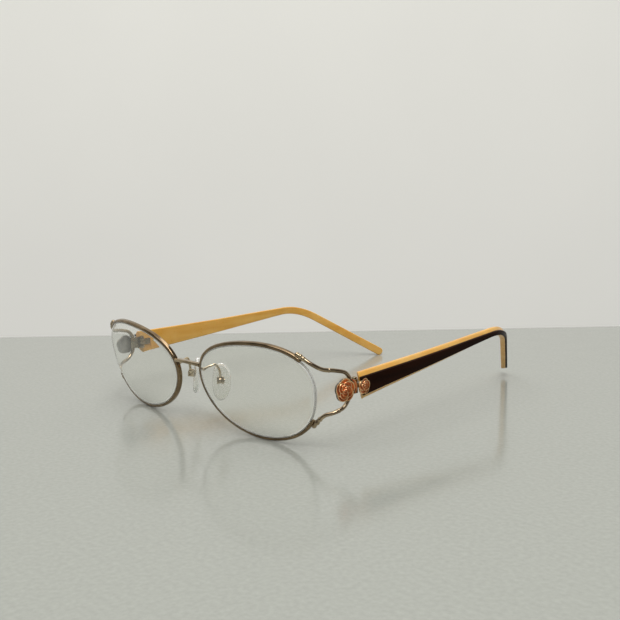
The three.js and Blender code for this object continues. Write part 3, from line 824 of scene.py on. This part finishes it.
def rosette_relief(petals, x, y):
    """Height, gilt share and shadow share where cupped petals lap over one another."""
    shadow_width = 0.09
    gilt_start, gilt_blend = 0.84, 0.08
    lip_start = 0.93
    shadow = 0.0
    for px, py, radius, foot, lip in petals:
        distance = math.hypot(x - px, y - py)
        if distance <= radius:
            share = distance / radius
            gilt = max(0.0, min(1.0, (share - gilt_start) / gilt_blend))
            fall = 0.1 * max(0.0, share - lip_start) / (1 - lip_start)
            return foot + (lip - foot) * (share ** 2.6 - fall), gilt, shadow * (1 - gilt)
        shadow = max(shadow, 1 - (distance - radius) / shadow_width)
    return 0.0, 0.0, 1.0


def soft_relief(petals, x, y):
    """The relief averaged over a small patch, so that the steps between petals are not ragged."""
    reach = 0.012
    samples = [rosette_relief(petals, x + dx, y + dy)
               for dx, dy in ((0, 0), (reach, 0), (-reach, 0), (0, reach), (0, -reach))]
    return [sum(sample[i] for sample in samples) / len(samples) for i in range(3)]


def ornament(petals, radius, wall, top, spokes, circles, wall_gilt, chord=None):
    """A rosette as drawn points (x, y, height) with its gilt and shadow shares, and its faces.

    The wall rises to where the petals start, bare or gilt; chord cuts the rosette off flat on its
    front side.
    """
    points, gilts, shadows = [], [], []
    limits = []
    for k in range(spokes):
        angle = 2 * math.pi * k / spokes
        limit = rosette_reach(petals, angle) * radius
        if chord and math.cos(angle) < 0:
            limit = min(limit, chord / -math.cos(angle))
        limits.append((math.cos(angle) * limit, math.sin(angle) * limit))
    for share, height, gilt in ((0.5, 0.0, 0.0), (0.975, 0.0, 0.0), (0.995, 0.06, wall_gilt)):
        for x, y in limits:
            points.append((x * share, y * share, height))
            gilts.append(gilt)
            shadows.append(0.0)
    bare_rings = 2 if wall_gilt else 3
    inset = 0.994
    for circle in range(circles, 0, -1):
        share = circle / circles
        for x, y in limits:
            spot = (x * share * inset / radius, y * share * inset / radius)
            height, gilt, shadow = soft_relief(petals, *spot)
            points.append((x * share, y * share, wall + (top - wall) * height))
            gilts.append(gilt)
            shadows.append(shadow)
    count = len(points) // spokes
    faces, numbers = [], []
    for ring in range(count - 1):
        for k in range(spokes):
            a = ring * spokes + k
            b = ring * spokes + (k + 1) % spokes
            faces.append((a, b, b + spokes, a + spokes))
            numbers.append(1 if ring < bare_rings else 0)
    faces.append(tuple(range(spokes - 1, -1, -1)))
    faces.append(tuple(range((count - 1) * spokes, count * spokes)))
    return points, faces, [*numbers, 1, 0], gilts, shadows


def build_ornament(name, side, drawing, place, body, node, enamel):
    """An ornament with enamel in front and bare metal behind."""
    points, faces, numbers, gilts, shadows = drawing
    skin = [place(*point) for point in points], faces, numbers
    piece = build(name, side, skin, body, [enamel, BARE_METAL], [node],
                  ROSE_SMOOTH)
    for layer, shares in (("gilt", gilts), ("shadow", shadows)):
        piece.data.attributes.new(layer, "FLOAT", "POINT").data.foreach_set("value", shares)


def rose_place(x, y, height):
    """A drawn point of the big rose, x to the back and y up, standing out from its plate."""
    return ROSE_CENTRE + Matrix.Rotation(-ROSE_TURN, 3, "Z") @ Vector((height, x, y))


def temple_rose_place(x, y, height):
    return Vector((TEMPLE_THICKNESS / 2 - PANEL_THICKNESS + height, x + TEMPLE_ROSE_BACK, y))


def petal_drawing():
    """The crescent of one more petal behind the rose, ribbed along its curve."""
    inner = ROSE_RADIUS + PETAL_GAP
    distance = math.hypot(*PETAL_OFFSET)
    lean = math.atan2(PETAL_OFFSET[1], PETAL_OFFSET[0])
    along = (inner ** 2 - PETAL_RADIUS ** 2 + distance ** 2) / (2 * distance)
    aside = math.sqrt(inner ** 2 - along ** 2)
    outer_half = math.atan2(aside, along - distance)
    inner_half = math.atan2(aside, along)
    top = PETAL_LIFT + PETAL_THICKNESS
    points, gilts, shadows = [], [], []
    for i in range(PETAL_STEPS + 1):
        t = 0.985 * (2 * i / PETAL_STEPS - 1)
        near_angle = lean + t * inner_half
        far_angle = lean + t * outer_half
        near = Vector((inner * math.cos(near_angle), inner * math.sin(near_angle)))
        out = Vector((math.cos(far_angle), math.sin(far_angle)))
        far = Vector(PETAL_OFFSET) + PETAL_RADIUS * out
        for k in range(PETAL_CROSS_STEPS + 1):
            share = k / PETAL_CROSS_STEPS
            rib = 0.5 + 0.5 * math.cos(2 * math.pi * 2 * share)
            lip = max(0.0, (share - 0.8) / 0.2)
            spot = near.lerp(far, share)
            fall = PETAL_FALL * (1 - share) + PETAL_RIB * (1 - rib) + PETAL_LIP * lip ** 2
            points.append((spot.x, spot.y, top - fall))
            gilts.append(max(lip, 0.5 * rib ** 4))
            shadows.append(max(0.0, 0.9 - 3 * share))
        for spot in (far, near):
            points.append((spot.x, spot.y, PETAL_LIFT))
            gilts.append(0.0)
            shadows.append(0.0)
    size = PETAL_CROSS_STEPS + 3
    points, faces, numbers = loft([points[i * size:(i + 1) * size] for i in range(PETAL_STEPS + 1)])
    for i in range(len(faces) - 2):
        numbers[i] = 1 if i % size > PETAL_CROSS_STEPS else 0
    return points, faces, numbers, gilts, shadows


# ---- Temples -------------------------------------------------------------------------------

def temple_place(side):
    """The temple's own space in the drawing: front end at the origin, running along +Y."""
    lift = LEFT_TEMPLE_LIFT if side == LEFT else 0.0
    return (Matrix.Translation(TEMPLE_FRONT) @ Matrix.Rotation(temple_turn(), 4, "Z")
            @ Matrix.Rotation(lift, 4, "X"))


def temple_line():
    """Centre line points in the temple's own space: those before the bend, and the rest."""
    back = Matrix.Rotation(-temple_turn(), 3, "Z")
    corner = back @ (TEMPLE_CORNER - TEMPLE_FRONT)
    tip = back @ (TEMPLE_TIP - TEMPLE_FRONT)
    before = corner * (1 - BEND_REACH / corner.length)
    after = corner.lerp(tip, BEND_REACH / (tip - corner).length)
    straight = [before * (i / STRAIGHT_STEPS) for i in range(STRAIGHT_STEPS)]
    bend = []
    for i in range(BEND_STEPS + 1):
        t = i / BEND_STEPS
        bend.append(before.lerp(corner, t).lerp(corner.lerp(after, t), t))
    tail = [after.lerp(tip, i / TAIL_STEPS) for i in range(1, TAIL_STEPS + 1)]
    return straight, bend + tail


def temple_stations():
    """Stations along the temple: the front end leans and is mitred, and the tip is rounded."""
    straight, rest = temple_line()
    points = straight + rest
    bend_start = rest[0].length
    reach = [0.0]
    for here, there in zip(rest, rest[1:]):
        reach.append(reach[-1] + (there - here).length)
    stations = []
    for i, centre in enumerate(points):
        along = (points[min(i + 1, len(points) - 1)] - points[max(i - 1, 0)]).normalized()
        outward = Vector((along.y, -along.x, 0)).normalized()
        run = min(centre.length / bend_start, 1.0) if i < len(straight) else 1.0
        tail = reach[i - len(straight)] / reach[-1] if i >= len(straight) else 0.0
        stations.append({
            "centre": centre - Vector((0, 0, TEMPLE_SAG * math.sin(math.pi * run) ** 2)),
            "along": along,
            "outward": outward,
            "upward": outward.cross(along),
            "height": (FRONT_HEIGHT + (BEND_HEIGHT - FRONT_HEIGHT) * run ** TEMPLE_TAPER
                       + tail * (TIP_HEIGHT - BEND_HEIGHT)),
            "top": TOP_BEVEL + (BEND_TOP_BEVEL - TOP_BEVEL) * run,
            "bottom": BOTTOM_BEVEL + (BEND_BOTTOM_BEVEL - BOTTOM_BEVEL) * run,
            "mitre": 0.0,
            "lean": 0.0,
            "inset": 0.0,
            "scale": 1.0,
        })
    front = stations[0]
    ends = [{**front, "centre": front["centre"] + Vector((0, step, 0)), "mitre": FRONT_MITRE,
             "lean": FRONT_LEAN, "inset": inset}
            for step, inset in FRONT_SOFTENING]
    return ends + stations[1:] + tip_rounding(stations[-1])


def tip_rounding(end):
    """The stations that close the temple in a half round."""
    rounding = []
    for k in range(1, TIP_STEPS + 1):
        share = math.sin(math.pi / 2 * k / (TIP_STEPS + 0.6))
        rounding.append({
            **end,
            "centre": end["centre"] + end["along"] * (TIP_REACH * end["height"] / 2 * share),
            "scale": math.sqrt(1 - share * share),
            "inset": 0.3 * max(0.0, (share - 0.85) / 0.15) ** 2,
        })
    return rounding


def section_ring(station, outline):
    """The outline on its station, drawn in at the rounded ends and skewed at the front end."""
    half, up = TEMPLE_THICKNESS / 2, station["height"] / 2
    ring = []
    for out, rise in outline:
        out *= 1 - station["inset"] / half
        rise *= station["scale"] * (1 - station["inset"] / up)
        ring.append(station["centre"] + station["outward"] * out + station["upward"] * rise
                    + Vector((0, -out * station["mitre"] - rise * station["lean"], 0)))
    return ring


def temple_skin(side, outline_at):
    place = temple_place(side)
    return loft([[place @ point for point in section_ring(station, outline_at(station))]
                 for station in temple_stations()])


def core_outline(station):
    """Rounded inside; outside, bevelled above and below the dark layer."""
    half, up = TEMPLE_THICKNESS / 2, station["height"] / 2
    face = half - PANEL_THICKNESS - LAYER_GAP
    low = BEVEL_SHARE * station["bottom"] - up
    high = up - BEVEL_SHARE * station["top"]
    return rounded([
        (face, low, 0.05), (face, high, 0.05), (face - BEVEL_DEPTH * station["top"], up, 0.5),
        (-half, up, 0.5), (-half, -up, 0.5), (face - BEVEL_DEPTH * station["bottom"], -up, 0.5),
    ])


def panel_outline(station):
    """The dark layer's section, with softened outer edges."""
    half, up = TEMPLE_THICKNESS / 2, station["height"] / 2
    low = BEVEL_SHARE * station["bottom"] - up
    high = up - BEVEL_SHARE * station["top"]
    return rounded([
        (half, station["bottom"] - up, 0.3), (half, up - station["top"], 0.3),
        (half - PANEL_THICKNESS, high, 0.03), (half - PANEL_THICKNESS, low, 0.03),
    ])


def box_skin(low, high, place):
    """A plain box between two corners."""
    corners = [Vector((x, y, z)) for x in (low[0], high[0]) for y in (low[1], high[1])
               for z in (low[2], high[2])]
    faces = [(0, 1, 3, 2), (4, 6, 7, 5), (0, 4, 5, 1), (2, 3, 7, 6), (0, 2, 6, 4), (1, 5, 7, 3)]
    return [place @ corner for corner in corners], faces, [0] * 6


def add_temple(side):
    """The two-layer temple with its hinge seat and the small rosette let into it."""
    name = SIDES[side]
    body = f"{name}_temple"
    place = temple_place(side)
    core = build(f"temple_core_{name}", side, temple_skin(side, core_outline), None, [OCHRE])
    inside = -TEMPLE_THICKNESS / 2
    seat = box_skin((inside - 1, -3, -FRONT_HEIGHT),
                    (inside + SEAT_DEPTH, SEAT_LENGTH, FRONT_HEIGHT), place)
    carve(core, build("cutter", side, seat, None, [OCHRE]))
    smooth_by_angle(core.data, CARVED_SMOOTH)
    declare(core, body, [f"{name}_temple_core"])

    panel = build(f"temple_panel_{name}", side, temple_skin(side, panel_outline), None,
                  [BROWN])
    radius = TEMPLE_ROSE_RADIUS + TEMPLE_ROSE_GAP
    angles = [2 * math.pi * k / POCKET_SIDES for k in range(POCKET_SIDES)]
    pocket = loft([
        [place @ Vector((height, TEMPLE_ROSE_BACK + radius * math.cos(a), radius * math.sin(a)))
         for a in angles]
        for height in (POCKET_FLOOR, POCKET_TOP)
    ])
    carve(panel, build("cutter", side, pocket, None, [BROWN]))
    smooth_by_angle(panel.data, CARVED_SMOOTH)
    declare(panel, body, [f"{name}_temple_panel"])

    build_ornament(f"temple_rosette_{name}", side, SMALL_ROSE_DRAWING,
                   lambda x, y, height: place @ temple_rose_place(x, y, height), body,
                   f"{name}_temple_rose", INLAY_ENAMEL)
    dress(f"{name}_core_wire", STEEL)


# ---- Nose pads -----------------------------------------------------------------------------

PAD_PLACE = (Matrix.Translation(PAD_BOX) @ Matrix.Rotation(-PAD_TURN, 4, "Z")
             @ Matrix.Rotation(-PAD_LEAN, 4, "Y"))


def nose_pad_skin():
    """A soft D-shaped pad: crowned on the skin side, with a shallow dish behind."""
    # From the skin side to the back: (share of the outline, height).
    levels = [
        (0.18, PAD_THICKNESS - 0.35), (0.55, PAD_THICKNESS - 0.3), (0.8, PAD_THICKNESS - 0.12),
        (0.9, PAD_THICKNESS - 0.02), (0.97, PAD_THICKNESS - 0.25), (1.0, PAD_THICKNESS - 0.7),
        (0.995, PAD_THICKNESS - 1.1), (0.96, PAD_THICKNESS - 1.5), (0.86, PAD_THICKNESS - 1.85),
        (0.68, PAD_THICKNESS - 2.06), (0.42, PAD_THICKNESS - 2.17), (0.16, 0.0),
    ]
    rings = []
    for share, height in levels:
        ring = []
        for k in range(PAD_SIDES):
            angle = -2 * math.pi * k / PAD_SIDES
            across = math.cos(angle)
            flat_side = 1.0 - PAD_FLATTENING * max(0.0, -across) ** 2
            y = PAD_WIDTH / 2 * across * flat_side
            z = PAD_LENGTH / 2 * math.sin(angle) * (1 - PAD_TAPER * across)
            ring.append(PAD_PLACE @ Vector((PAD_SKIN + height, y * share, z * share - PAD_DROP)))
        rings.append(ring)
    return loft(rings[::-1])


def pad_arm_skin():
    """The wire from the rim to the pad, with its solder foot and the eye that holds the screw."""
    stop = PAD_PLACE @ Vector((0, 0, (EYE_RADIUS + PAD_SCREW_RADIUS) / 2))
    path = spline([*ARM_BENDS, stop], ARM_STEPS)

    def radius(share):
        return ARM_RADIUS * (1 + bump_at(share, *ARM_FOOT))

    return merged(tube(path, radius, ARM_SIDES), eye_skin())


def eye_skin():
    """The ring at the arm's end, with softened rims and a waisted hole."""
    half, edge = EYE_THICKNESS / 2, EYE_RADIUS - EYE_SOFTENING
    section = [(EYE_RADIUS, -EYE_FLAT), (EYE_RADIUS, EYE_FLAT), (edge, half), (EYE_HOLE, half),
               (EYE_WAIST, 0.0), (EYE_HOLE, -half), (edge, -half)]
    size = len(section)
    points, faces = [], []
    for k in range(EYE_SIDES):
        angle = 2 * math.pi * k / EYE_SIDES
        for reach, along in section:
            spot = Vector((reach * math.cos(angle), along, reach * math.sin(angle)))
            points.append(PAD_PLACE @ spot)
        here = k * size
        there = ((k + 1) % EYE_SIDES) * size
        for i in range(size):
            after = (i + 1) % size
            faces.append((here + i, there + i, there + after, here + after))
    return points, faces, [0] * len(faces)


# ---- Assembly ------------------------------------------------------------------------------

def dress(node, material):
    """Gives a CAD node that stays its finished material."""
    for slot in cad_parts[node].material_slots:
        slot.material = material


def add_front_side(side):
    name = SIDES[side]
    build(f"rim_{name}", side, rim_skin(), "front", [RIM_METAL_PAINTED_DARK],
          [f"{name}_rim"], BAR_SMOOTH)
    build(f"lens_{name}", side, lens_skin(), "front", [LENS, LENS_EDGE],
          [f"{name}_lens"], LENS_SMOOTH)
    build(f"thread_{name}", side, thread_skin(), "front", [NYLON],
          [f"{name}_nylon_cord"], WIRE_SMOOTH)
    build(f"upper_wire_{name}", side, upper_wire_skin(), "front", [PALE_METAL_PAINTED_DARK],
          [f"{name}_upper_wire"], WIRE_SMOOTH)
    build(f"lower_wire_{name}", side, lower_wire_skin(), "front", [PALE_METAL_PAINTED_DARK],
          [f"{name}_lower_wire"], WIRE_SMOOTH)
    build(f"pad_arm_{name}", side, pad_arm_skin(), "front", [PAD_METAL_PAINTED_LIGHT],
          [f"{name}_pad_arm"], BAR_SMOOTH)
    for piece, drawing in (("rose", BIG_ROSE_DRAWING), ("petal", PETAL_DRAWING)):
        build_ornament(f"{piece}_{name}", side, drawing, rose_place, "front", f"{name}_{piece}",
                       ENAMEL)
    for piece in ("hinge_block", "hinge_screw"):
        polished_copy(f"{name}_{piece}", f"{piece}_{name}", "front", STEEL)


def add_moving_side(side):
    name = SIDES[side]
    add_temple(side)
    polished_copy(f"{name}_temple_leaf", f"temple_leaf_{name}", f"{name}_temple",
                  STEEL)
    build(f"nose_pad_{name}", side, nose_pad_skin(), f"{name}_pad", [SILICONE],
          [f"{name}_nose_pad"], WIRE_SMOOTH)
    for piece, width in (("pad_box", 0.15), ("pad_screw", 0.06)):
        polished_copy(f"{name}_{piece}", f"{piece}_{name}", f"{name}_pad", PAD_METAL_PAINTED_LIGHT,
                      width)


def add_stage():
    """A plain pale floor with a plain wall standing behind its far edge."""
    facing = Matrix.Rotation(CAMERA_AZIMUTH, 3, "Z")
    edge = CAMERA_PLACE + facing @ Vector((0, FLOOR_DEPTH, 0))
    reach = STAGE_REACH

    def at(across, away, height):
        return Vector((edge.x, edge.y, height)) + facing @ Vector((across, away, 0))

    def plate(name, corners, material):
        mesh = bpy.data.meshes.new(name)
        mesh.from_pydata(corners, [], [(0, 1, 2, 3)])
        mesh.materials.append(material)
        piece = bpy.data.objects.new(name, mesh)
        bpy.context.scene.collection.objects.link(piece)

    plate("floor", [at(-reach, -reach, 0), at(reach, -reach, 0), at(reach, 0, 0), at(-reach, 0, 0)],
          pale_floor())
    plate("wall", [at(-reach, WALL_GAP, -WALL_DROP), at(reach, WALL_GAP, -WALL_DROP),
                   at(reach, WALL_GAP, reach), at(-reach, WALL_GAP, reach)], pale_wall())


def add_light(name, place, target, size, power, colour):
    light = bpy.data.lights.new(name, "AREA")
    light.shape = "RECTANGLE"
    light.size, light.size_y = size
    light.energy = power
    light.color = colour
    lamp = bpy.data.objects.new(name, light)
    lamp.location = place
    lamp.rotation_euler = (Vector(target) - Vector(place)).to_track_quat("-Z", "Y").to_euler()
    bpy.context.scene.collection.objects.link(lamp)


def add_sky():
    """An even, dim surround."""
    world = bpy.data.worlds.new("studio")
    world.use_nodes = True
    background = world.node_tree.nodes["Background"]
    background.inputs["Color"].default_value = SKY_COLOUR
    background.inputs["Strength"].default_value = SKY_STRENGTH
    bpy.context.scene.world = world
    bpy.context.scene.view_settings.view_transform = "Standard"


def add_camera():
    """The photograph's viewpoint: level by its azimuth, then pitched down and rolled a little."""
    camera = bpy.data.cameras.new("camera")
    camera.lens = CAMERA_LENS
    camera.clip_start = 0.01
    view = bpy.data.objects.new("camera", camera)
    turn = (Matrix.Rotation(CAMERA_AZIMUTH, 4, "Z")
            @ Matrix.Rotation(math.pi / 2 + CAMERA_PITCH, 4, "X")
            @ Matrix.Rotation(CAMERA_ROLL, 4, "Z"))
    view.matrix_world = Matrix.Translation(CAMERA_PLACE) @ turn
    bpy.context.scene.collection.objects.link(view)
    bpy.context.scene.camera = view


BIG_ROSE_DRAWING = ornament(
    BIG_ROSE, ROSE_RADIUS, ROSE_EDGE, ROSE_WALL + ROSE_DOME, spokes=240, circles=90, wall_gilt=0.0)
SMALL_ROSE_DRAWING = ornament(
    SMALL_ROSE, TEMPLE_ROSE_RADIUS, TEMPLE_ROSE_EDGE, PANEL_THICKNESS + TEMPLE_ROSE_RAISE,
    spokes=180, circles=60, wall_gilt=1.0, chord=TEMPLE_ROSE_CHORD)
PETAL_DRAWING = petal_drawing()

add_camera()
build("bridge_bar", LEFT, bridge_skin(), "front", [PALE_METAL_PAINTED_DARK], ["bridge"],
      BAR_SMOOTH)
for side in SIDES:
    add_front_side(side)
    add_moving_side(side)
add_stage()
for light in LIGHTS:
    add_light(*light)
add_sky()
